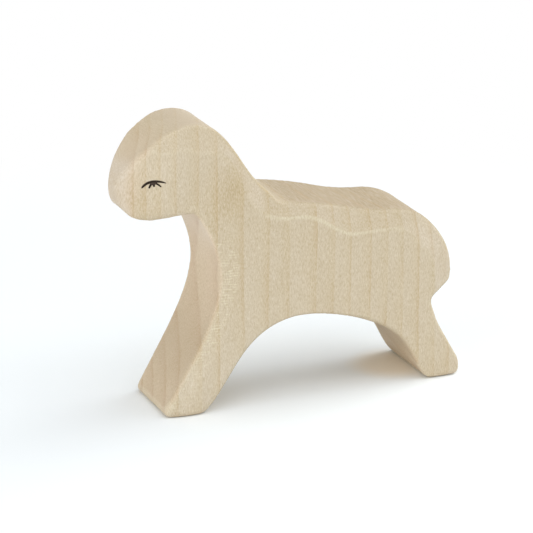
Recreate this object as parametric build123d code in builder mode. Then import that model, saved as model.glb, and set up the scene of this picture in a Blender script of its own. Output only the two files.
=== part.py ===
"""Sheep figurine sawn from one maple board, sanded by hand, with two inked eyes."""
import os
from math import cos, radians, sin

from build123d import *

# Board and how its edges are rubbed down, in mm (head towards -X, ground at Z 0)
board = 28.0
arris = 0.9
foot_round = 1.3
heel_round = 6.0
shank_round = 25.0
hock_round = 3.0
tail_round = 2.4
throat_round = 1.2

# Head and throat, measured down from the top of the head
head_top = 90.4
head_top_x = -33.0
head_height = 27.6
brow_x = -46.0
brow_drop = 6.0
nose_x = -54.8
nose_drop = 19.6
chin_x = -47.8
throat_x = -32.3
throat_lift = 0.5
poll_x = -21.5
poll_drop = 6.6

# Front foot, chest and belly arch
toe_x = -43.9
heel_x = -31.2
chest_x = -25.0
chest_z = 42.9
elbow_x = -13.85
elbow_z = 21.95
belly_x = -3.0
belly = 26.9
flank_x = 25.2
flank_z = 21.6
stifle_x = 36.0
stifle_z = 13.6

# Hind foot, hock and tail
hind_toe_x = 44.2
hind_heel_x = 54.8
hock_x = 44.2
hock_z = 26.9
tail_x = 52.0
tail_z = 31.2

# Back, from rump to nape
rump_x = 47.0
rump_z = 48.6
croup_x = 33.7
croup_z = 56.9
loin_x = 25.5
loin_z = 57.7
back_x = 5.4
back_z = 62.3
saddle_x = -6.2
saddle_z = 64.2
nape_x = -13.3

# Sanded facets: depth lost per mm across them, how far their creases lie inside the outline,
# and how far the cut runs past the wood
facet_slope = 0.29
rump_slope = 0.3
chest_slope = 0.21
chin_slope = 0.45
head_bevel = 13.3
poll_bevel = 11.6
nape_bevel = 9.0
saddle_bevel = 4.9
back_bevel = 3.9
loin_bevel = 6.4
rump_bevel = 6.0
chest_bevel = 5.7
chin_bevel = 1.5
temple_depth = 2.4
temple_back = 7.8
temple_drop = 7.8
temple_out = (-0.3, 1.0, 0.36)
overrun = 6.0

# Head thinner than the body by a step on each side, on a slanted ramp along the neck
head_step = 1.6
head_taper = 0.2
neck_tilt = 36.0
neck_ramp = 13.0

# Muzzle rounded across the board, with a narrow blunt strip left at the nose
muzzle_tilt = 10.0
muzzle_length = 18.5
muzzle_blunt = 0.45

# Closed eyes drawn in ink, which soaks into the wood
eye_back = 9.7
eye_rise = 11.4
eye_width = 6.5
lid_line = 0.66
lash_line = 0.5
ink_depth = 0.35

# Worked out from the sizes above
half = board / 2
cheek = half - head_step
chin = head_top - head_height
brow_z = head_top - brow_drop
nose_z = head_top - nose_drop
poll_z = head_top - poll_drop
throat_z = chin + throat_lift
nape_z = saddle_z + 0.39 * (poll_z - saddle_z)
throat_u = chin * sin(radians(neck_tilt)) - throat_x * cos(radians(neck_tilt))
nose_u = nose_z * sin(radians(muzzle_tilt)) - nose_x * cos(radians(muzzle_tilt))
muzzle_root = nose_u + muzzle_blunt - muzzle_length
eye_x = nose_x + eye_back
eye_z = chin + eye_rise
heel_z = 0.174 * hock_z
shank_x = hind_heel_x - 0.745 * (hind_heel_x - hock_x)
shank_z = 0.691 * hock_z
back_crease = back_z - back_bevel
loin_crease = loin_z - loin_bevel
neck_shift = head_step / chest_slope
clear = head_top + board
head_plane = Plane((0, 0, 0), x_dir=(-1, 0, 0), z_dir=(0, 0, 1))
neck_plane = head_plane.rotated((0, neck_tilt, 0))
muzzle_plane = head_plane.rotated((0, muzzle_tilt, 0))

os.makedirs("parts", exist_ok=True)

# Bed of one eye: the lid and three lashes, sunk to the depth of the ink
with BuildPart() as eye_bed:
    with BuildSketch(Plane.XZ.offset(half)):
        with BuildLine() as lid:
            Spline(
                (eye_x - 0.49 * eye_width, eye_z - 0.28 * eye_width),
                (eye_x - 0.23 * eye_width, eye_z - 0.05 * eye_width),
                (eye_x + 0.09 * eye_width, eye_z + 0.06 * eye_width),
                (eye_x + 0.51 * eye_width, eye_z - 0.03 * eye_width),
            )
        trace(lid.line, line_width=lid_line)
        with BuildLine() as lashes:
            Line((eye_x - 0.06 * eye_width, eye_z), (eye_x - 0.22 * eye_width, eye_z - 0.25 * eye_width))
            Line((eye_x, eye_z), (eye_x - 0.02 * eye_width, eye_z - 0.15 * eye_width))
            Line((eye_x + 0.06 * eye_width, eye_z), (eye_x + 0.29 * eye_width, eye_z - 0.17 * eye_width))
        trace(lashes.line, line_width=lash_line)
    extrude(amount=-half)
    with BuildSketch(muzzle_plane):
        with Locations((muzzle_root, 0)):
            Ellipse(muzzle_length - ink_depth, cheek - ink_depth)
    extrude(amount=clear, both=True, mode=Mode.SUBTRACT)

with BuildPart() as left_eye:
    add(eye_bed.part)
    with BuildSketch(muzzle_plane):
        with Locations((muzzle_root, 0)):
            Ellipse(muzzle_length, cheek)
    extrude(amount=clear, both=True, mode=Mode.INTERSECT)

with BuildPart() as right_eye:
    mirror(left_eye.part, about=Plane.XZ)

with BuildPart() as wooden_body:
    # Outline as sawn, its corners softened
    with BuildSketch(Plane.XZ) as outline:
        with BuildLine():
            Line((toe_x, 0), (heel_x, 0))
            Spline(
                (heel_x, 0),
                (heel_x + 0.455 * (elbow_x - heel_x), 0.465 * elbow_z),
                (elbow_x, elbow_z),
                (belly_x, belly),
                (belly_x + 0.6 * (flank_x - belly_x), flank_z + 0.74 * (belly - flank_z)),
                (flank_x, flank_z),
                (stifle_x, stifle_z),
                (stifle_x + 0.52 * (hind_toe_x - stifle_x), 0.46 * stifle_z),
                (hind_toe_x, 0),
            )
            Line((hind_toe_x, 0), (hind_heel_x, 0))
            Polyline(
                (hind_heel_x, 0),
                (hind_heel_x, heel_z),
                (shank_x, shank_z),
                (hock_x, hock_z),
                (tail_x, tail_z),
            )
            Spline(
                (tail_x, tail_z),
                (tail_x - 0.14 * (tail_x - rump_x), tail_z + 0.54 * (rump_z - tail_z)),
                (rump_x, rump_z),
                (rump_x - 0.48 * (rump_x - croup_x), rump_z + 0.7 * (croup_z - rump_z)),
                (croup_x, croup_z),
                (loin_x, loin_z),
                (loin_x - 0.6 * (loin_x - back_x), loin_z + 0.61 * (back_z - loin_z)),
                (back_x, back_z),
                (saddle_x, saddle_z),
            )
            Spline(
                (saddle_x, saddle_z),
                (nape_x + 0.48 * (saddle_x - nape_x), saddle_z + 0.52 * (nape_z - saddle_z)),
                (nape_x, nape_z),
                (poll_x, poll_z),
                (poll_x + 0.53 * (head_top_x - poll_x), poll_z + 0.83 * (head_top - poll_z)),
                (head_top_x, head_top),
            )
            Spline(
                (head_top_x, head_top),
                (head_top_x + 0.52 * (brow_x - head_top_x), head_top + 0.27 * (brow_z - head_top)),
                (brow_x, brow_z),
                (brow_x + 0.73 * (nose_x - brow_x), brow_z + 0.52 * (nose_z - brow_z)),
                (nose_x, nose_z),
                (nose_x + 0.31 * (chin_x - nose_x), nose_z + 0.76 * (chin - nose_z)),
                (chin_x, chin),
                (chin_x + 0.5 * (throat_x - chin_x), chin + 0.8 * (throat_z - chin)),
                (throat_x, throat_z),
            )
            Spline(
                (throat_x, throat_z),
                (chest_x + 0.27 * (throat_x - chest_x), chest_z + 0.5 * (chin - chest_z)),
                (chest_x, chest_z),
                (chest_x + 0.15 * (toe_x - chest_x), 0.7 * chest_z),
                (chest_x + 0.69 * (toe_x - chest_x), 0.25 * chest_z),
                (toe_x, 0),
            )
        make_face()
        fillet(outline.vertices().sort_by(Axis.Y)[:4], radius=foot_round)
        fillet(outline.vertices().sort_by_distance((hind_heel_x, heel_z))[0], radius=heel_round)
        fillet(outline.vertices().sort_by_distance((shank_x, shank_z))[0], radius=shank_round)
        fillet(outline.vertices().sort_by_distance((hock_x, hock_z))[0], radius=hock_round)
        fillet(outline.vertices().sort_by_distance((tail_x, tail_z))[0], radius=tail_round)
        fillet(outline.vertices().sort_by_distance((throat_x, throat_z))[0], radius=throat_round)
    extrude(amount=half, both=True)

    # Arrises rubbed down all round
    fillet(wooden_body.faces().filter_by(Axis.Y).edges(), radius=arris)

    # Ramp along the neck and flat cheek, on both sides
    for side in (1, -1):
        with BuildSketch(neck_plane):
            with BuildLine():
                ramp = Spline(
                    (throat_u - neck_ramp, side * (half + 0.3 * head_step)),
                    (throat_u - 0.54 * neck_ramp, side * (half - 0.3 * head_step)),
                    (throat_u, side * cheek),
                    (throat_u + 0.6 * neck_ramp, side * (cheek - head_taper)),
                )
                Polyline(
                    ramp @ 1,
                    (throat_u + clear, side * (cheek - 2 * head_taper)),
                    (throat_u + clear, side * clear),
                    (throat_u - neck_ramp, side * clear),
                    ramp @ 0,
                )
            make_face()
        extrude(amount=clear, both=True, mode=Mode.SUBTRACT)

    # Muzzle rounded across the board
    with BuildSketch(muzzle_plane):
        with Locations((muzzle_root, 0)):
            Rectangle(clear, 2 * clear, align=(Align.MIN, Align.CENTER))
            Ellipse(muzzle_length, cheek, mode=Mode.SUBTRACT)
    extrude(amount=clear, both=True, mode=Mode.SUBTRACT)

    for side in (1, -1):
        # Facet at the temple
        temple = Plane(
            (nose_x + temple_back, side * (cheek - temple_depth), head_top - temple_drop),
            z_dir=(temple_out[0], side * temple_out[1], temple_out[2]),
        )
        split(bisect_by=temple, keep=Keep.BOTTOM)

        # Facet along head, nape and back, with its wavy lower crease
        with BuildSketch(Plane.XZ.offset(side * half)):
            with BuildLine():
                crease = Spline(
                    (nose_x - overrun, head_top - 1.08 * head_bevel),
                    (brow_x, head_top - 0.94 * head_bevel),
                    (head_top_x, head_top - 1.04 * head_bevel),
                    (poll_x, poll_z - poll_bevel),
                    (nape_x, nape_z - nape_bevel),
                    (nape_x + 0.45 * (saddle_x - nape_x), nape_z - 1.25 * nape_bevel),
                    (saddle_x, saddle_z - saddle_bevel),
                    (back_x - 0.16 * (back_x - saddle_x), back_crease),
                    (back_x + 0.25 * (loin_x - back_x), 0.5 * (back_crease + loin_crease)),
                    (back_x + 0.58 * (loin_x - back_x), loin_crease + 0.03 * (back_crease - loin_crease)),
                    (loin_x, loin_crease),
                    (croup_x, loin_crease - 0.04 * (back_crease - loin_crease)),
                    (tail_x + overrun, loin_crease - 0.6 * (back_crease - loin_crease)),
                )
                Polyline(crease @ 1, (tail_x + overrun, clear), (nose_x - overrun, clear), crease @ 0)
            make_face()
        extrude(amount=board, dir=(0, side * facet_slope, 1), both=True, mode=Mode.SUBTRACT)

        # Facet round the rump
        with BuildSketch(Plane.XZ.offset(side * half)):
            with BuildLine():
                crease = Spline(
                    (loin_x - 0.17 * (loin_x - back_x), loin_z - 0.42 * rump_bevel),
                    (croup_x, croup_z - rump_bevel),
                    (rump_x - 1.23 * rump_bevel, rump_z - 0.45 * rump_bevel),
                    (tail_x - 1.13 * rump_bevel, tail_z + 0.38 * (rump_z - tail_z)),
                    (tail_x - rump_bevel, tail_z),
                    (tail_x - 1.07 * rump_bevel, tail_z - 1.2 * rump_bevel),
                )
                Polyline(
                    crease @ 1,
                    (clear, tail_z - 1.2 * rump_bevel),
                    (clear, clear),
                    crease @ 0,
                )
            make_face()
        extrude(amount=board, dir=(0.76, side * rump_slope, 0.65), both=True, mode=Mode.SUBTRACT)

        # Facet down the chest and the front of the leg
        with BuildSketch(Plane.XZ.offset(side * half)):
            with BuildLine():
                crease = Spline(
                    (throat_x + 0.26 * chest_bevel + neck_shift, chin - 0.26 * chest_bevel),
                    (chest_x + 0.37 * chest_bevel + 0.3 * neck_shift, chest_z + 0.52 * (chin - chest_z)),
                    (chest_x + chest_bevel, chest_z),
                    (chest_x + 0.53 * chest_bevel, 0.75 * chest_z),
                    (toe_x + 2.58 * chest_bevel, 0.37 * chest_z),
                    (toe_x + chest_bevel, -0.05 * chest_z),
                )
                Polyline(
                    crease @ 1,
                    (-clear, -0.05 * chest_z),
                    (-clear, chin - 0.26 * chest_bevel),
                    crease @ 0,
                )
            make_face()
        extrude(amount=board, dir=(-1, side * chest_slope, 0), both=True, mode=Mode.SUBTRACT)

        # Facet under the cheek, from the throat round to the nose
        with BuildSketch(Plane.XZ.offset(side * cheek)):
            with BuildLine():
                crease = Spline(
                    (nose_x - chin_bevel, nose_z + 6 * chin_bevel),
                    (nose_x + 0.4 * (chin_x - nose_x), nose_z + 1.5 * chin_bevel),
                    (chin_x, chin + 3.6 * chin_bevel),
                    (chin_x + 0.6 * (throat_x - chin_x), throat_z + chin_bevel),
                    (throat_x, throat_z),
                )
                Polyline(
                    crease @ 1,
                    (throat_x, throat_z - 3 * chin_bevel),
                    (nose_x - chin_bevel, throat_z - 3 * chin_bevel),
                    crease @ 0,
                )
            make_face()
        extrude(amount=2 * cheek, dir=(0, side * chin_slope, -1), both=True, mode=Mode.SUBTRACT)

    # Beds of the eyes
    add(eye_bed.part, mode=Mode.SUBTRACT)
    mirror(eye_bed.part, about=Plane.XZ, mode=Mode.SUBTRACT)

wooden_body.part.label = "wooden_body"
left_eye.part.label = "left_eye"
right_eye.part.label = "right_eye"
for piece in (wooden_body, left_eye, right_eye):
    export_step(piece.part, f"parts/{piece.part.label}.step")
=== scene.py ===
import math
from types import SimpleNamespace

import bmesh
import bpy
import numpy as np
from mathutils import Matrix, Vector, noise
from mathutils.bvhtree import BVHTree


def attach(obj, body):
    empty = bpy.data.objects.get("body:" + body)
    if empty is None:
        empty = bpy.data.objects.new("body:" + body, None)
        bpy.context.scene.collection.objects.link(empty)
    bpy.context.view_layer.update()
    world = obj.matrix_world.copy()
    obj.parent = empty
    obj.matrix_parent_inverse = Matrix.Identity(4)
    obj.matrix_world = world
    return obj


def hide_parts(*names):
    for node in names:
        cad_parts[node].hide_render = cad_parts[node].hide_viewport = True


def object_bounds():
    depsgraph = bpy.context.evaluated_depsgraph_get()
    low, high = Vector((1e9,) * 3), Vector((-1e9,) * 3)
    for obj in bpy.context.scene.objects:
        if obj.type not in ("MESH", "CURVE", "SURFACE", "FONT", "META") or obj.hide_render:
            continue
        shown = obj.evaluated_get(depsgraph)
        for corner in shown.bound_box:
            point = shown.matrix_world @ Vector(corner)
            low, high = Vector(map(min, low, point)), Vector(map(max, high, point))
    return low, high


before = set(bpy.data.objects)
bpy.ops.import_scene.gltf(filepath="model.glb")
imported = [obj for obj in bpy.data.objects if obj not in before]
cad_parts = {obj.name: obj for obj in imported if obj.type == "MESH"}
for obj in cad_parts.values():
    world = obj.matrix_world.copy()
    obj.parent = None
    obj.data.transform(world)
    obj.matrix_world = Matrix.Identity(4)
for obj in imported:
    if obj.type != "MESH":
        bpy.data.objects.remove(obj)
cadBox = [list(corner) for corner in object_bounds()]
scene = bpy.context.scene
mm = 0.001
black, white = (0, 0, 0, 1), (1, 1, 1, 1)
print("stage: frame loaded")


# small helpers for node trees

def wire(tree, output, socket):
    tree.links.new(output, socket)


def addNode(tree, kind, **settings):
    node = tree.nodes.new(kind)
    for name, value in settings.items():
        setattr(node, name, value)
    return node


def feed(tree, socket, value):
    if isinstance(value, bpy.types.NodeSocket):
        tree.links.new(value, socket)
    else:
        socket.default_value = value


def mathNode(tree, operation, first, second=0.0, third=0.0, clamp=False):
    node = addNode(tree, "ShaderNodeMath", operation=operation, use_clamp=clamp)
    for socket, value in zip(node.inputs, (first, second, third)):
        feed(tree, socket, value)
    return node.outputs[0]


def plus(tree, first, second):
    return mathNode(tree, "ADD", first, second)


def times(tree, first, second):
    return mathNode(tree, "MULTIPLY", first, second)


def mixColour(tree, factor, first, second, blend="MIX"):
    node = addNode(tree, "ShaderNodeMix", data_type="RGBA", blend_type=blend)
    feed(tree, node.inputs[0], factor)
    feed(tree, node.inputs[6], first)
    feed(tree, node.inputs[7], second)
    return node.outputs[2]


def spread(tree, value, low, high, outLow=0.0, outHigh=1.0, smooth=True):
    node = addNode(tree, "ShaderNodeMapRange")
    node.interpolation_type = "SMOOTHSTEP" if smooth else "LINEAR"
    feed(tree, node.inputs["Value"], value)
    node.inputs["From Min"].default_value = low
    node.inputs["From Max"].default_value = high
    node.inputs["To Min"].default_value = outLow
    node.inputs["To Max"].default_value = outHigh
    return node.outputs["Result"]


def noiseAt(tree, vector, stretch, detail=2.0, roughness=0.5):
    place = addNode(tree, "ShaderNodeMapping")
    place.inputs["Scale"].default_value = stretch
    wire(tree, vector, place.inputs["Vector"])
    node = addNode(tree, "ShaderNodeTexNoise")
    node.inputs["Scale"].default_value = 1.0
    node.inputs["Detail"].default_value = detail
    node.inputs["Roughness"].default_value = roughness
    wire(tree, place.outputs["Vector"], node.inputs["Vector"])
    return node.outputs["Fac"]


def splitAxes(tree, vector):
    node = addNode(tree, "ShaderNodeSeparateXYZ")
    wire(tree, vector, node.inputs[0])
    return node.outputs


def startGroup(name, outputs):
    tree = bpy.data.node_groups.new(name, "ShaderNodeTree")
    tree.interface.new_socket("Place", in_out="INPUT", socket_type="NodeSocketVector")
    for output in outputs:
        tree.interface.new_socket(output, in_out="OUTPUT", socket_type="NodeSocketFloat")
    entry = addNode(tree, "NodeGroupInput")
    leave = addNode(tree, "NodeGroupOutput")
    return tree, entry.outputs["Place"], leave.inputs


def addGroup(tree, group, place):
    node = addNode(tree, "ShaderNodeGroup", node_tree=group)
    wire(tree, place, node.inputs["Place"])
    return node.outputs


# growth rings: layers across the board, fanning out towards the tail, in mm
ringMarks = {
    "edges": [-60.0, -53.6, -49.2, -44.2, -39.2, -32.0, -26.3, -17.9, -9.9, -3.3, 5.9, 11.9,
              17.6, 24.3, 30.0, 35.1, 40.6, 46.0, 51.5, 60.0],
    "nearFace": 14.0,       # the edges are read on the near side of the board
    "fan": (-0.054, 0.0104),                 # lean of a ring at the middle, and more per mm
    "wander": ((0.05, 0.05, 0.016), 1.0),    # stretch and detail of the noise that bends a ring
    "wanderBy": 2.2,
    "ragged": ((0.5, 0.5, 0.06), 2.0),
    "raggedBy": 0.7,
    "jump": 0.22,           # half the width over which late wood gives way to early wood
    "fadeCloud": ((0.16, 0.16, 0.035), 2.0),
    "fadeSpan": (0.36, 0.62),
    "fade": (0.1, 1.35),    # weakest and strongest stretch of a line
    "linePower": 8.0,
    "shadePower": 1.6,
}


def ringTone(tree, level, edges, jump):
    first, last = edges[0], edges[-1]
    ramp = addNode(tree, "ShaderNodeValToRGB")
    wire(tree, spread(tree, level, first, last, smooth=False), ramp.inputs["Fac"])
    stops = ramp.color_ramp.elements
    stops[0].color, stops[1].color = black, white
    gap = jump / (last - first)
    for edge in edges[1:-1]:
        where = (edge - first) / (last - first)
        stops.new(where - gap).color = white
        stops.new(where + gap).color = black
    return ramp.outputs["Color"]


def buildRings(marks):
    tree, place, leave = startGroup("growthRings", ("Line", "Shade"))
    axes = splitAxes(tree, place)
    along, across = axes["X"], axes["Y"]
    atMiddle, perMm = marks["fan"]
    inward = plus(tree, across, marks["nearFace"])
    turn = plus(tree, times(tree, along, perMm), atMiddle)
    level = plus(tree, along, times(tree, inward, turn))
    for name in ("wander", "ragged"):
        swing = mathNode(tree, "SUBTRACT", noiseAt(tree, place, *marks[name]), 0.5)
        level = plus(tree, level, times(tree, swing, marks[name + "By"]))
    # a colour ramp holds too few stops for all the rings, so there is one for each half
    edges = marks["edges"]
    middle = len(edges) // 2
    headEnd = ringTone(tree, level, edges[:middle + 1], marks["jump"])
    tailEnd = ringTone(tree, level, edges[middle:], marks["jump"])
    tone = mixColour(tree, mathNode(tree, "GREATER_THAN", level, edges[middle]), headEnd, tailEnd)
    cloud = noiseAt(tree, place, *marks["fadeCloud"])
    fade = spread(tree, cloud, *marks["fadeSpan"], *marks["fade"])
    line = times(tree, mathNode(tree, "POWER", tone, marks["linePower"]), fade)
    wire(tree, line, leave["Line"])
    wire(tree, mathNode(tree, "POWER", tone, marks["shadePower"]), leave["Shade"])
    return tree


# fibres: dashes along the grain, fine pores and streaks where the fibres end
fibreMarks = {
    "dash": ((4.2, 4.2, 0.95), 3.0, 0.6),    # stretch, detail and roughness of the noise
    "pore": ((5.0, 5.0, 1.6), 1.0),
    "cloud": ((0.11, 0.11, 0.05), 2.0),
    "streak": ((2.6, 0.26, 2.6), 2.0),
    "poreSpan": (0.54, 0.70),
}


def buildFibres(marks):
    tree, place, leave = startGroup("woodFibres", ("Dash", "Pore", "Cloud", "Streak"))
    wire(tree, noiseAt(tree, place, *marks["dash"]), leave["Dash"])
    pore = noiseAt(tree, place, *marks["pore"])
    wire(tree, spread(tree, pore, *marks["poreSpan"]), leave["Pore"])
    wire(tree, noiseAt(tree, place, *marks["cloud"]), leave["Cloud"])
    wire(tree, noiseAt(tree, place, *marks["streak"]), leave["Streak"])
    return tree


ringGroup = buildRings(ringMarks)
fibreGroup = buildFibres(fibreMarks)


def startMaterial(name):
    material = bpy.data.materials.new(name)
    material.use_nodes = True
    tree = material.node_tree
    tree.nodes.clear()
    output = addNode(tree, "ShaderNodeOutputMaterial")
    shader = addNode(tree, "ShaderNodeBsdfPrincipled")
    wire(tree, shader.outputs["BSDF"], output.inputs["Surface"])
    coords = addNode(tree, "ShaderNodeTexCoord")
    toMm = addNode(tree, "ShaderNodeMapping")
    toMm.inputs["Scale"].default_value = (1 / mm, 1 / mm, 1 / mm)
    wire(tree, coords.outputs["Object"], toMm.inputs["Vector"])
    return material, tree, shader, toMm.outputs["Vector"]


def readMark(tree, name):
    node = addNode(tree, "ShaderNodeAttribute", attribute_name=name)
    return node.outputs["Fac"]


mapleLook = {
    "pale": (0.658, 0.554, 0.394, 1),
    "band": (0.628, 0.507, 0.308, 1),
    "line": (0.505, 0.330, 0.140, 1),
    "front": (0.698, 0.560, 0.388, 1),
    "frontBand": (0.622, 0.470, 0.312, 1),
    "frontLine": (0.510, 0.350, 0.200, 1),
    # colour of end grain and of painted shade
    "endGrainAndShade": (0.458, 0.356, 0.226, 1),
    # pale colour for rubbed creases and painted highlights
    "rubAndHighlightTint": (0.745, 0.665, 0.480, 1),
    # colour of the painted sheen
    "paintedSheen": (0.712, 0.610, 0.478, 1),
    "pore": (0.475, 0.375, 0.225, 1),
    "frontShare": 0.8,
    "bandShare": (0.25, 0.40),     # what the front has on top, and what every face has
    "lineShare": (0.16, 0.28),
    "faintLoss": 0.25,
    "poreShare": 0.32,
    "rubAndHighlightShare": 0.55,
    "noiseSpan": (0.25, 0.75),     # the range of a noise that is spread over a change of tone
    "speckle": 0.215,              # how far dashes lighten and darken the wood
    "streak": 0.22,                # the same for streaks on the back
    "cloudSpan": (0.3, 0.7),
    "cloud": (0.975, 1.025),
    "warmth": (0.75, 1.0, 1.6),    # powers of red, green and blue, so darker wood is warmer
    "roughSpan": (0.2, 0.8),
    "rough": (0.50, 0.64),
    "rubbedRough": -0.1,
    "specular": 0.4,
    "bumpStrength": 0.3,
    "bumpDepth": 0.06 * mm,
    "poreDepth": 0.5,
}
# the sander's ripples, level across the chest facet, in mm
rippleLook = {
    "spacing": 0.85,
    "drift": ((0.25, 0.25, 0.25), 2.0),
    "driftBy": 7.0,
    "breaks": ((0.5, 0.5, 0.9), 1.0),
    "breakSpan": (0.4, 0.65),
    "crest": 0.90,
    "trough": -0.12,
}


def warmTone(tree, value, powers):
    node = addNode(tree, "ShaderNodeCombineColor")
    for socket, power in zip(node.inputs[:3], powers):
        wire(tree, mathNode(tree, "POWER", value, power), socket)
    return node.outputs["Color"]


def rippleCrest(tree, place, look):
    drift = times(tree, noiseAt(tree, place, *look["drift"]), look["driftBy"])
    turns = times(tree, splitAxes(tree, place)["Z"], 2 * math.pi / look["spacing"])
    crest = spread(tree, mathNode(tree, "SINE", plus(tree, turns, drift)), -1.0, 1.0)
    breaks = spread(tree, noiseAt(tree, place, *look["breaks"]), *look["breakSpan"])
    return times(tree, crest, breaks)


def buildMaple(look, ripples):
    material, tree, shader, place = startMaterial("sandedMaple")
    rings = addGroup(tree, ringGroup, place)
    fibres = addGroup(tree, fibreGroup, place)
    dash, pore = fibres["Dash"], fibres["Pore"]
    names = ("endGrainAndShade", "crossCut", "rubAndHighlight", "facing", "faint", "ripple", "paintedSheen", "tone")
    endGrainAndShade, crossCut, rubAndHighlight, facing, faint, ripple, paintedSheen, tone = (
        readMark(tree, name) for name in names)

    # plain wood, end grain with painted shade, painted sheen, growth rings and pores
    front = times(tree, facing, look["frontShare"])
    colour = mixColour(tree, front, look["pale"], look["front"])
    bandTint = mixColour(tree, facing, look["band"], look["frontBand"])
    bandShare = mathNode(tree, "MULTIPLY_ADD", facing, *look["bandShare"])
    colour = mixColour(tree, times(tree, rings["Shade"], bandShare), colour, bandTint)
    # end grain, with painted shade on faces turned down
    colour = mixColour(tree, endGrainAndShade, colour, look["endGrainAndShade"])
    # painted sheen
    colour = mixColour(tree, paintedSheen, colour, look["paintedSheen"])
    lineTint = mixColour(tree, facing, look["line"], look["frontLine"])
    lineShare = mathNode(tree, "MULTIPLY_ADD", facing, *look["lineShare"])
    lineShare = mathNode(tree, "SUBTRACT", lineShare, times(tree, faint, look["faintLoss"]))
    colour = mixColour(tree, times(tree, rings["Line"], lineShare), colour, lineTint)
    colour = mixColour(tree, times(tree, pore, look["poreShare"]), colour, look["pore"])

    # rubbed creases with painted highlight on edges, and ripples
    crest = rippleCrest(tree, place, ripples)
    lift = plus(tree, times(tree, crest, ripples["crest"]), ripples["trough"])
    rubAndHighlightMix = plus(tree, times(tree, rubAndHighlight, look["rubAndHighlightShare"]), times(tree, ripple, lift))
    colour = mixColour(tree, rubAndHighlightMix, colour, look["rubAndHighlightTint"])

    # speckle, streaks, and painted light and shade from the tone mark
    speckle, streak, span = look["speckle"], look["streak"], look["noiseSpan"]
    dashes = spread(tree, dash, *span, -speckle, speckle, False)
    clouds = spread(tree, fibres["Cloud"], *look["cloudSpan"], *look["cloud"], False)
    streaks = spread(tree, fibres["Streak"], *span, -streak, streak, False)
    shade = plus(tree, plus(tree, dashes, clouds), tone)
    shade = plus(tree, shade, times(tree, streaks, crossCut))
    shade = warmTone(tree, shade, look["warmth"])
    wire(tree, mixColour(tree, 1.0, colour, shade, "MULTIPLY"), shader.inputs["Base Color"])

    rough = spread(tree, dash, *look["roughSpan"], *look["rough"], False)
    rough = plus(tree, rough, times(tree, rubAndHighlight, look["rubbedRough"]))
    wire(tree, rough, shader.inputs["Roughness"])
    shader.inputs["Specular IOR Level"].default_value = look["specular"]
    bump = addNode(tree, "ShaderNodeBump")
    bump.inputs["Strength"].default_value = look["bumpStrength"]
    bump.inputs["Distance"].default_value = look["bumpDepth"]
    height = mathNode(tree, "SUBTRACT", dash, times(tree, pore, look["poreDepth"]))
    height = plus(tree, height, times(tree, ripple, crest))
    wire(tree, height, bump.inputs["Height"])
    wire(tree, bump.outputs["Normal"], shader.inputs["Normal"])
    return material


inkLook = {
    "deep": (0.020, 0.012, 0.006, 1),
    "thin": (0.085, 0.056, 0.042, 1),
    "soakSpan": (0.3, 0.7),
    "soak": (0.4, 1.0),
    "roughSpan": (0.2, 0.8),
    "rough": (0.55, 0.75),
    "specular": 0.2,
}


def buildInk(look):
    material, tree, shader, place = startMaterial("eyeInk")
    dash = addGroup(tree, fibreGroup, place)["Dash"]
    soak = spread(tree, dash, *look["soakSpan"], *look["soak"])
    soak = mathNode(tree, "MULTIPLY", readMark(tree, "feather"), soak, clamp=True)
    wire(tree, mixColour(tree, soak, look["deep"], look["thin"]), shader.inputs["Base Color"])
    rough = spread(tree, dash, *look["roughSpan"], *look["rough"], False)
    wire(tree, rough, shader.inputs["Roughness"])
    shader.inputs["Specular IOR Level"].default_value = look["specular"]
    return material


maple = buildMaple(mapleLook, rippleLook)
ink = buildInk(inkLook)
print("stage: materials built")


# body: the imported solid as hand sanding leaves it, creases rubbed soft in some places, in mm
sheepBody = {
    "node": "wooden_body",
    "eyes": ("left_eye", "right_eye"),
    "seam": 0.05 * mm,             # faces closer than this lie between wood and ink
    "voxel": 0.475 * mm,
    "rounding": 3,
    "softZones": {                 # x and z from, x and z to, passes of rubbing
        "muzzle": ((-60, 55), (-43, 87), 36),
        "cheek": ((-46, 44), (-20, 81), 15),
        "neck": ((-24, 44), (-6, 62), 12),
        "poll": ((-42, 80), (-8, 85.5), 6),
        "chest": ((-50, 3), (-6, 46), 15),
        "feet": ((-60, -5), (60, 6), 27),
        "hindLeg": ((16, 3), (60, 27), 21),
        "rump": ((40, 25), (60, 60), 6),
        "noseTip": ((-60, 58), (-50, 72), 18),
    },
    "zoneSteps": 3,                # a zone shrinks in steps, so that its edge doesn't show
    "zoneEdge": 1.5,
    "refillPasses": 20,            # what rubbing took off the outline is spread and given back
    "refillGain": 1.6,
    "refillEnds": 0.4,             # how much more the faces turned forward and back get
    "refillFrom": (-1.5, 4.0),     # height over which the feet go from none to all of it
    "noseTipFrom": (50.5, 53.5),   # the tip of the nose gets little of it
    "noseTipUnder": (74.0, 69.0),
    "noseTipLoss": 0.9,
    "leastTurn": 0.05,             # a face turned less than this to a side of the box ignores it
    "leastSpace": 0.01 * mm,
    "wobble": 0.05 * mm,
    "wobbleSpan": 9 * mm,
}


def nodeMesh(name):
    bm = bmesh.new()
    bm.from_mesh(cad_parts[name].data)
    bmesh.ops.remove_doubles(bm, verts=bm.verts, dist=1e-7)
    return bm


def dropShared(bm, tree, seam):
    shared = [face for face in bm.faces
              if tree.find_nearest(face.calc_center_median(), seam)[0] is not None]
    bmesh.ops.delete(bm, geom=shared, context="FACES")


def smoothStep(values, low, high):
    t = np.clip((values - low) / (high - low), 0, 1)
    return t * t * (3 - 2 * t)


def nextTo(links, values):
    total = np.zeros_like(values)
    np.add.at(total, links[:, 0], values[links[:, 1]])
    np.add.at(total, links[:, 1], values[links[:, 0]])
    degree = np.bincount(links.ravel(), minlength=len(values))
    return total / degree.reshape((-1,) + (1,) * (values.ndim - 1))


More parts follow.
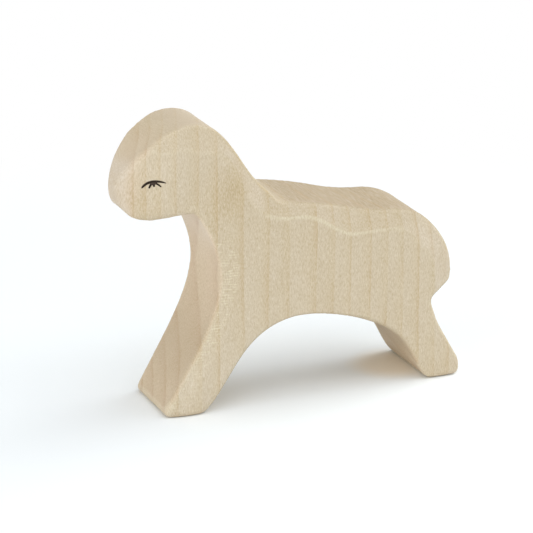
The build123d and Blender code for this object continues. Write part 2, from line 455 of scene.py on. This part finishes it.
def makeBlank(spec):
    wood = nodeMesh(spec["node"])
    woodTree = BVHTree.FromBMesh(wood)
    for name in spec["eyes"]:
        inkMesh = nodeMesh(name)
        dropShared(wood, BVHTree.FromBMesh(inkMesh), spec["seam"])
        dropShared(inkMesh, woodTree, spec["seam"])
        patch = bpy.data.meshes.new("eyePatch")
        inkMesh.to_mesh(patch)
        inkMesh.free()
        wood.from_mesh(patch)
        bpy.data.meshes.remove(patch)
    blank = bpy.data.meshes.new("sheepBlank")
    wood.to_mesh(blank)
    wood.free()
    body = bpy.data.objects.new("sheepBody", blank)
    scene.collection.objects.link(body)
    skin = body.modifiers.new("skin", "REMESH")
    skin.mode = "VOXEL"
    skin.voxel_size = spec["voxel"]
    skinned = body.evaluated_get(bpy.context.evaluated_depsgraph_get())
    mesh = bpy.data.meshes.new_from_object(skinned)
    body.modifiers.clear()
    body.data = mesh
    mesh.name = "sheepBody"
    bpy.data.meshes.remove(blank)
    return body


def rubDown(bm, verts, passes):
    for _ in range(passes):
        bmesh.ops.smooth_vert(bm, verts=verts, factor=0.5,
                              use_axis_x=True, use_axis_y=True, use_axis_z=True)


def rubZones(bm, spec):
    rubDown(bm, bm.verts[:], spec["rounding"])
    steps = spec["zoneSteps"]
    for (xFrom, zFrom), (xTo, zTo), passes in spec["softZones"].values():
        for step in range(steps):
            inset = step * spec["zoneEdge"]
            inside = [v for v in bm.verts
                      if (xFrom + inset) * mm < v.co.x < (xTo - inset) * mm
                      and (zFrom + inset) * mm < v.co.z < (zTo - inset) * mm]
            rubDown(bm, inside, passes // steps)
    bm.normal_update()


def givenBack(bm, sharp, spec):
    lost = np.array([(before - v.co).dot(v.normal) for before, v in zip(sharp, bm.verts)])
    links = np.array([[v.index for v in edge.verts] for edge in bm.edges])
    for _ in range(spec["refillPasses"]):
        lost = nextTo(links, lost)
    along = np.array([v.co.x for v in bm.verts]) / mm
    height = np.array([v.co.z for v in bm.verts]) / mm
    ends = np.array([v.normal.x ** 2 for v in bm.verts])
    noseTip = smoothStep(-along, *spec["noseTipFrom"]) * smoothStep(height, *spec["noseTipUnder"])
    wanted = spec["refillGain"] * np.clip(lost, 0, None) * (1 + spec["refillEnds"] * ends)
    return wanted * smoothStep(height, *spec["refillFrom"]) * (1 - spec["noseTipLoss"] * noseTip)


def makeBody(spec):
    body = makeBlank(spec)
    bm = bmesh.new()
    bm.from_mesh(body.data)
    sharp = [v.co.copy() for v in bm.verts]
    rubZones(bm, spec)
    low, high = (Vector(corner) for corner in cadBox)
    least = spec["leastTurn"]
    for vert, wanted in zip(bm.verts, givenBack(bm, sharp, spec)):
        space = min((b - v if n > 0 else v - a) / abs(n)
                    for v, n, a, b in zip(vert.co, vert.normal, low, high) if abs(n) > least)
        space = max(space, spec["leastSpace"])
        push = space * (1 - math.exp(-wanted / space))
        push += noise.noise(vert.co / spec["wobbleSpan"]) * spec["wobble"]
        vert.co += vert.normal * push
        vert.co = Vector(min(max(v, a), b) for v, a, b in zip(vert.co, low, high))
    bm.to_mesh(body.data)
    bm.free()
    body.data.polygons.foreach_set("use_smooth", [True] * len(body.data.polygons))
    return body


# marks that the finish reads, in mm and shares of a unit normal
# a pair says where a mark begins and where it is full, a third number how strong it is
bodyMarks = {
    "bendPasses": 2,
    "front": (0.35, 0.85),                   # faces turned forward, or back
    "leaning": (0.85, 0.93),                 # facets that lean only a little
    "headTo": -14.0,
    "crownUp": (0.5, 0.85),                  # the top of the head, behind the brow
    "crownFrom": (-42.0, -33.0),
    "crease": {                              # creases rubbed pale, and painted highlight on the feet's front edges
        "bend": (0.10, 0.18),                # curvature per mm
        "backBox": ((-14.0, 44.0), (44.0, 61.0)),
        "backSide": 13.6,
        "backStart": (-13.0, -9.0),
        "backThins": (18.0, 30.0, 0.5),
        "backEnd": (32.0, 37.0),
        # painted highlight: the rounded front edges of the feet catch light
        "footTop": 5.0,
        "footFront": 0.3,
        "foot": 0.6,
        "elsewhere": 0.08,
    },
    "grain": {                               # cut fibres, and painted shade on faces turned down
        "slant": (0.38, 0.58, 0.60),         # faces that slope up
        "level": (0.60, 0.92, 0.40),
        "under": (0.15, 0.60, 0.50),         # faces turned down: end grain and painted shade
        "underFrom": (4.0, 10.0),
        "underHigh": (40.0, 52.0, 0.75),     # less of it under the chin
        "facet": (0.20, 0.27, 0.17),         # sanded facets along the back
        "shin": ((-30.0, 17.0), (14.0, 13.0), 0.48),    # the front of the leg is browner
        "shinFront": (0.5, 0.8),
        "forehead": (33.0, 42.0, 0.3),
        "backFrom": (-9.0, 0.0),
        "neckFoot": 0.08,                    # what is left of it in front of the back
        "crown": 0.9,
    },
    "tone": {                                # painted light and shade: paler and darker places
        "spots": {                           # middle, reach, tilt, tone, faces
            # painted shade in the neck's hollow
            "neckHollowShade": ((-22.0, 69.0), (9.0, 4.5), 58.0, -0.12, "side"),
            "neckSide": ((-19.0, 73.0), (11.0, 14.0), 0.0, -0.035, "side"),
            "nape": ((-20.5, 79.5), (8.0, 3.5), -45.0, 0.03, "side"),
            # painted light on the fillet at the foot of the neck
            "neckFoot": ((-8.0, 64.5), (5.5, 5.0), 0.0, 0.10, "top"),
            "legSide": ((-26.0, 10.0), (14.0, 15.0), 0.0, 0.085, "side"),
            "cheek": ((-36.0, 80.0), (9.0, 8.0), 0.0, 0.03, "side"),
            "jaw": ((-51.0, 68.0), (7.0, 8.0), 0.0, -0.06, "all"),
            "temple": ((-51.0, 84.5), (6.0, 7.0), 0.0, 0.06, "all"),
            "throat": ((-30.0, 57.0), (8.0, 7.0), 0.0, 0.14, "front"),
            "chest": ((-26.0, 42.0), (9.0, 14.0), 0.0, 0.03, "front"),
        },
        "side": (0.7, 0.95),
        "front": (0.3, 0.7),
        "top": (0.6, 0.85),
        "topNear": (4.0, 10.0),              # not on the near side of the top
        "napeEdge": -0.16,                   # painted shade on the edge behind the neck
        "napeFrom": (-30.0, -24.0),
        "napeTo": (-10.0, -5.0),
        "napeLow": 58.0,
        "napeBend": (0.08, 0.22),
        "napeUp": (0.15, 0.45),
    },
    "paintedSheen": {                               # painted sheen where faces catch light, on the nose, crown and rump
        "crown": 0.34,
        "nose": (49.0, 53.0, 0.9),
        "noseFront": (0.5, 0.85),
        "noseTop": (80.0, 85.0),
        "rump": (0.12, 0.22, 0.38),
        "rumpLow": 27.0,
    },
    "faint": {                               # growth lines are weak on the head's sides
        "headFrom": (26.0, 34.0),
        "headLow": (56.0, 62.0),
        "head": 0.38,
    },
    "ripple": {                              # the sander's ripples on the chest facet
        "front": (0.10, 0.17),
        "side": (0.85, 0.96),
        "top": (60.0, 50.0),
        "from": (14.0, 18.0),
        "low": (12.0, 24.0),
        "least": 0.35,
    },
}


def readSurface(mesh, passes):
    count = len(mesh.vertices)
    spots = np.empty(count * 3)
    mesh.vertices.foreach_get("co", spots)
    spots = spots.reshape(-1, 3) / mm
    normals = np.empty(count * 3, np.float32)
    mesh.vertices.foreach_get("normal", normals)
    normals = normals.reshape(-1, 3).astype(float)
    edges = np.empty(len(mesh.edges) * 2, np.int32)
    mesh.edges.foreach_get("vertices", edges)
    edges = edges.reshape(-1, 2)
    # how far a vertex stands out from its neighbours gives the curvature
    span = np.linalg.norm(spots[edges[:, 0]] - spots[edges[:, 1]], axis=1).mean()
    bend = ((spots - nextTo(edges, spots)) * normals).sum(1) * 4 / span ** 2
    for _ in range(passes):
        bend = 0.5 * (bend + nextTo(edges, bend))
    x, y, z = spots.T
    nx, ny, nz = normals.T
    return SimpleNamespace(x=x, y=y, z=z, nx=nx, ny=ny, nz=nz, bend=bend)


def scaledStep(values, low, high, strength):
    return smoothStep(values, low, high) * strength


def blot(at, middle, reach, tilt=0.0):
    right, up = at.x - middle[0], at.z - middle[1]
    c, s = math.cos(math.radians(tilt)), math.sin(math.radians(tilt))
    along, aside = right * c + up * s, up * c - right * s
    return np.exp(-(along / reach[0]) ** 2 - (aside / reach[1]) ** 2)


# pale rubbed creases along the back, and painted highlight on the feet's front edges
def rubAndHighlightCreases(at, spec):
    (xFrom, zFrom), (xTo, zTo) = spec["backBox"]
    onBack = (at.x > xFrom) & (at.x < xTo) & (at.z > zFrom) & (at.z < zTo)
    onBack &= np.abs(at.y) > spec["backSide"]
    fading = smoothStep(at.x, *spec["backStart"]) * (1 - scaledStep(at.x, *spec["backThins"]))
    fading *= 1 - smoothStep(at.x, *spec["backEnd"])
    onFoot = (at.z < spec["footTop"]) & (-at.nx > spec["footFront"])
    elsewhere = np.where(onFoot, spec["foot"], spec["elsewhere"])
    return smoothStep(at.bend, *spec["bend"]) * np.where(onBack, fading, elsewhere)


# end grain darkens faces that slope up, and painted shade darkens faces turned down
def cutFibresAndShade(at, spec):
    least = spec["neckFoot"]
    onBack = least + (1 - least) * smoothStep(at.x, *spec["backFrom"])
    shown = np.where(at.onHead, scaledStep(-at.x, *spec["forehead"]), onBack)
    upward = scaledStep(at.nz, *spec["slant"]) + scaledStep(at.nz, *spec["level"])
    under = scaledStep(-at.nz, *spec["under"]) * smoothStep(at.z, *spec["underFrom"])
    under *= 1 - scaledStep(at.z, *spec["underHigh"])
    facet = scaledStep(at.nz, *spec["facet"]) * at.leaning
    middle, reach, brown = spec["shin"]
    shin = brown * blot(at, middle, reach) * smoothStep(-at.nx, *spec["shinFront"])
    endGrainAndShade = upward * shown + under + facet + shin + spec["crown"] * at.crown
    crossCut = smoothStep(at.nz, *spec["level"][:2]) * shown
    return np.clip(endGrainAndShade, 0, 1), crossCut


# painted light and shade: spots that lighten or darken the wood, and a darker edge behind the
# neck
def paintedLightAndShade(at, spec):
    top = smoothStep(at.nz, *spec["top"]) * (1 - smoothStep(-at.y, *spec["topNear"]))
    faces = {
        "side": smoothStep(np.abs(at.ny), *spec["side"]),
        "front": smoothStep(-at.nx, *spec["front"]),
        "top": top,
        "all": np.ones_like(at.x),
    }
    tone = np.zeros_like(at.x)
    for middle, reach, tilt, shift, where in spec["spots"].values():
        tone += shift * blot(at, middle, reach, tilt) * faces[where]
    nape = smoothStep(at.x, *spec["napeFrom"]) * (1 - smoothStep(at.x, *spec["napeTo"]))
    nape *= (at.z > spec["napeLow"]) * smoothStep(at.bend, *spec["napeBend"])
    return tone + spec["napeEdge"] * nape * smoothStep(at.nz, *spec["napeUp"])


# painted sheen: the nose, the crown and the rump are mixed towards a pale colour where they catch
# light
def paintedSheenMark(at, spec):
    nose = scaledStep(-at.x, *spec["nose"]) * smoothStep(-at.nx, *spec["noseFront"])
    nose *= 1 - smoothStep(at.z, *spec["noseTop"])
    rump = scaledStep(at.nx, *spec["rump"]) * at.leaning * (at.z > spec["rumpLow"])
    return np.clip(spec["crown"] * at.crown + nose + rump, 0, 1)


def faintLines(at, spec):
    head = smoothStep(-at.x, *spec["headFrom"]) * smoothStep(at.z, *spec["headLow"])
    return np.clip(at.behind + spec["head"] * head * (1 - at.facing), 0, 1)


def chestRipple(at, spec):
    chest = smoothStep(-at.nx, *spec["front"]) * smoothStep(np.abs(at.ny), *spec["side"])
    chest *= smoothStep(at.z, *spec["top"]) * smoothStep(-at.x, *spec["from"])
    return chest * (spec["least"] + (1 - spec["least"]) * smoothStep(at.z, *spec["low"]))


def markBody(body, spec):
    at = readSurface(body.data, spec["bendPasses"])
    at.facing = smoothStep(-at.nx, *spec["front"])
    at.behind = smoothStep(at.nx, *spec["front"])
    at.leaning = smoothStep(np.abs(at.ny), *spec["leaning"])
    at.onHead = at.x < spec["headTo"]
    at.crown = smoothStep(at.nz, *spec["crownUp"]) * smoothStep(at.x, *spec["crownFrom"])
    at.crown *= at.onHead
    endGrainAndShade, crossCut = cutFibresAndShade(at, spec["grain"])
    marks = {
        "endGrainAndShade": endGrainAndShade,
        "crossCut": crossCut,
        "rubAndHighlight": rubAndHighlightCreases(at, spec["crease"]),
        "facing": at.facing,
        "faint": faintLines(at, spec["faint"]),
        "ripple": chestRipple(at, spec["ripple"]),
        "paintedSheen": paintedSheenMark(at, spec["paintedSheen"]),
        "tone": paintedLightAndShade(at, spec["tone"]),
    }
    for name, values in marks.items():
        mark = body.data.attributes.new(name, "FLOAT", "POINT")
        mark.data.foreach_set("value", values.astype(np.float32))


body = makeBody(sheepBody)
markBody(body, bodyMarks)
body.data.materials.append(maple)
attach(body, "root")
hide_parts("wooden_body")
print("stage: body", len(body.data.polygons), "faces")


# closed eyes: pen strokes laid on the cheek, in mm along X and Z
eyeStrokes = {
    "lid": {"path": ((-48.64, 72.62), (-47.2, 75.0), (-44.6, 75.25), (-41.68, 74.10)),
            "width": (0.56, 0.82, 0.98, 0.28), "rise": 0.07, "wash": 0.0},
    "lashFront": {"path": ((-45.85, 74.4), (-46.05, 73.8), (-46.45, 73.3), (-46.68, 72.66)),
                  "width": (0.70, 0.66, 0.60, 0.44), "rise": 0.07, "wash": 0.0},
    "lashMiddle": {"path": ((-45.4, 74.3), (-45.36, 73.9), (-45.3, 73.6), (-45.22, 73.12)),
                   "width": (0.80, 0.76, 0.66, 0.50), "rise": 0.07, "wash": 0.0},
    "lashBack": {"path": ((-44.9, 74.3), (-44.35, 74.02), (-43.8, 73.65), (-43.22, 73.02)),
                 "width": (0.62, 0.56, 0.52, 0.40), "rise": 0.07, "wash": 0.0},
    "pool": {"path": ((-46.2, 74.15), (-45.8, 74.05), (-45.2, 74.0), (-44.7, 74.15)),
             "width": (0.40, 1.00, 1.00, 0.40), "rise": 0.10, "wash": 0.8},
}
inkFilm = {
    "depth": 0.18 * mm,
    "lengths": 24,
    "widths": 6,
    "aheadBy": 0.02,       # share of a stroke that gives its direction
    "tipPower": 12,        # the higher, the blunter a stroke's ends
    "dome": 0.6,           # how much lower the ink lies at a stroke's edge
    "featherPower": 4,
    "castFrom": 40 * mm,   # strokes are laid on the cheek from this far out
}


def bezier(points, t):
    s = 1 - t
    weights = (s ** 3, 3 * s * s * t, 3 * s * t * t, t ** 3)
    return sum((Vector(p) * w for p, w in zip(points, weights)), Vector((0, 0)))


def layStroke(verts, mark, stroke, film, side, woodTree):
    path = stroke["path"]
    widths = [Vector((w, 0)) for w in stroke["width"]]
    for vert in verts:
        t, across = vert.co.x + 0.5, vert.co.y * 2
        ahead = bezier(path, min(t + film["aheadBy"], 1.0))
        ahead -= bezier(path, max(t - film["aheadBy"], 0.0))
        fromMiddle = 2 * t - 1
        tip = math.sqrt(max(1 - fromMiddle ** film["tipPower"], 0.0))
        reach = bezier(widths, t).x / 2 * tip * across
        spot = bezier(path, t) + Vector((-ahead.y, ahead.x)).normalized() * reach
        start = Vector((spot.x * mm, side * film["castFrom"], spot.y * mm))
        hit, normal = woodTree.ray_cast(start, Vector((0, -side, 0)))[:2]
        vert.co = hit + normal * stroke["rise"] * mm * (1 - film["dome"] * across * across)
        rim = max(abs(across), abs(fromMiddle)) ** film["featherPower"]
        vert[mark] = min(stroke["wash"] + rim, 1.0)


def makeEye(name, side, woodTree, film):
    bm = bmesh.new()
    mark = bm.verts.layers.float.new("feather")
    for stroke in eyeStrokes.values():
        known = set(bm.verts)
        bmesh.ops.create_grid(bm, x_segments=film["lengths"], y_segments=film["widths"], size=0.5)
        fresh = [v for v in bm.verts if v not in known]
        layStroke(fresh, mark, stroke, film, side, woodTree)
    bmesh.ops.recalc_face_normals(bm, faces=bm.faces)
    for face in bm.faces:
        if face.normal.y * side < 0:
            face.normal_flip()
    bmesh.ops.solidify(bm, geom=bm.faces[:], thickness=film["depth"])
    for face in bm.faces:
        face.smooth = True
    mesh = bpy.data.meshes.new(name)
    bm.to_mesh(mesh)
    bm.free()
    eye = bpy.data.objects.new(name, mesh)
    scene.collection.objects.link(eye)
    mesh.materials.append(ink)
    return eye


bodyBm = bmesh.new()
bodyBm.from_mesh(body.data)
woodTree = BVHTree.FromBMesh(bodyBm)
for name, side, node in (("eyeLeft", -1, "left_eye"), ("eyeRight", 1, "right_eye")):
    eye = makeEye(name, side, woodTree, inkFilm)
    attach(eye, "root")
    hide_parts(node)
bodyBm.free()
print("stage: eyes drawn")


# floor: pale paper that keeps the shadow near the sheep and runs out to white
tableTop = {
    "reach": 3.0,
    "colour": (0.90, 0.90, 0.90, 1),
    "seen": (0.975, 1.0, 1.0, 1),   # the same paper as the camera exposes it
    "shadowTo": 0.11,
    "whiteFrom": 0.26,
    "paintedBounce": (1.0, 0.93, 0.81, 1),   # painted reflection: the wood's warm bounce light on the paper beside the hind foot
    "warmAt": (0.039, 0.003, 0.0),
    "warmReach": (0.006, 0.016),
}


def makeFloor(spec):
    bm = bmesh.new()
    bmesh.ops.create_grid(bm, x_segments=1, y_segments=1, size=spec["reach"])
    mesh = bpy.data.meshes.new("tableTop")
    bm.to_mesh(mesh)
    bm.free()
    floor = bpy.data.objects.new("tableTop", mesh)
    scene.collection.objects.link(floor)
    material = bpy.data.materials.new("palePaper")
    material.use_nodes = True
    tree = material.node_tree
    tree.nodes.clear()
    output = addNode(tree, "ShaderNodeOutputMaterial")
    paper = addNode(tree, "ShaderNodeBsdfDiffuse")
    glow = addNode(tree, "ShaderNodeEmission")
    light = addNode(tree, "ShaderNodeLightPath")
    coords = addNode(tree, "ShaderNodeTexCoord")
    length = addNode(tree, "ShaderNodeVectorMath", operation="LENGTH")
    wire(tree, coords.outputs["Object"], length.inputs[0])
    away = spread(tree, length.outputs["Value"], spec["shadowTo"], spec["whiteFrom"])
    seen = light.outputs["Is Camera Ray"]
    # painted reflection of the wood's warm bounce light, beside the hind foot
    aside = addNode(tree, "ShaderNodeVectorMath", operation="DISTANCE")
    wire(tree, coords.outputs["Object"], aside.inputs[0])
    aside.inputs[1].default_value = spec["warmAt"]
    warmth = spread(tree, aside.outputs["Value"], *spec["warmReach"], 1.0, 0.0)
    lit = mixColour(tree, warmth, spec["seen"], spec["paintedBounce"])
    wire(tree, mixColour(tree, seen, spec["colour"], lit), paper.inputs["Color"])
    both = addNode(tree, "ShaderNodeMixShader")
    wire(tree, times(tree, seen, away), both.inputs[0])
    wire(tree, paper.outputs[0], both.inputs[1])
    wire(tree, glow.outputs[0], both.inputs[2])
    wire(tree, both.outputs[0], output.inputs["Surface"])
    mesh.materials.append(material)


makeFloor(tableTop)


# soft studio light: a bright room, a broad ceiling lamp and white screens all round
room = {"light": 0.31, "seen": 1.0, "lampsAimAt": (0, 0, 0.04)}
lamps = {
    "leftScreen": {"at": (-1.0, -0.4, 0.4), "size": 1.0, "power": 5.2, "tint": (1.0, 1.0, 1.0)},
    "rightScreen": {"at": (0.7, -0.2, 0.8), "size": 1.2, "power": 4.9, "tint": (0.98, 1.0, 1.02)},
    "rightBack": {"at": (1.0, 0.3, 0.6), "size": 0.9, "power": 3.7, "tint": (0.95, 1.0, 1.05)},
    "frontScreen": {"at": (0.0, -0.8, 0.8), "size": 1.2, "power": 2.6, "tint": (0.93, 1.0, 1.10)},
    "ceiling": {"at": (0.05, 0.0, 1.0), "size": 1.7, "power": 3.5, "tint": (0.95, 1.0, 1.05)},
}


def lightRoom(spec):
    world = bpy.data.worlds.new("brightRoom")
    scene.world = world
    world.use_nodes = True
    tree = world.node_tree
    tree.nodes.clear()
    output = addNode(tree, "ShaderNodeOutputWorld")
    sky = addNode(tree, "ShaderNodeBackground")
    rays = addNode(tree, "ShaderNodeLightPath").outputs
    direct = plus(tree, rays["Is Camera Ray"], rays["Is Transmission Ray"])
    direct = mathNode(tree, "ADD", direct, rays["Is Glossy Ray"], clamp=True)
    strength = spread(tree, direct, 0.0, 1.0, spec["light"], spec["seen"], False)
    wire(tree, strength, sky.inputs["Strength"])
    sky.inputs["Color"].default_value = white
    wire(tree, sky.outputs[0], output.inputs["Surface"])
    for name, lamp in lamps.items():
        data = bpy.data.lights.new(name, "AREA")
        data.shape = "DISK"
        data.size = lamp["size"]
        data.energy = lamp["power"]
        data.color = lamp["tint"]
        holder = bpy.data.objects.new(name, data)
        scene.collection.objects.link(holder)
        holder.location = lamp["at"]
        aim = Vector(spec["lampsAimAt"]) - holder.location
        holder.rotation_euler = aim.to_track_quat("-Z", "Y").to_euler()


lightRoom(room)


# camera: solved from the photograph's soles and parallel edges
viewPoint = {
    "at": (-0.3197, -0.7445, 0.32154),
    "tilt": 70.763,
    "turn": -22.921,
    "lens": 189.12,
    "sensor": 36,
    "clip": (0.05, 20),
}


def placeCamera(spec):
    data = bpy.data.cameras.new("photoView")
    data.sensor_width = spec["sensor"]
    data.lens = spec["lens"]
    data.clip_start, data.clip_end = spec["clip"]
    camera = bpy.data.objects.new("photoView", data)
    scene.collection.objects.link(camera)
    camera.location = spec["at"]
    camera.rotation_euler = (math.radians(spec["tilt"]), 0, math.radians(spec["turn"]))
    scene.camera = camera


placeCamera(viewPoint)
scene.view_settings.view_transform = "Standard"
print("stage: light and camera set")
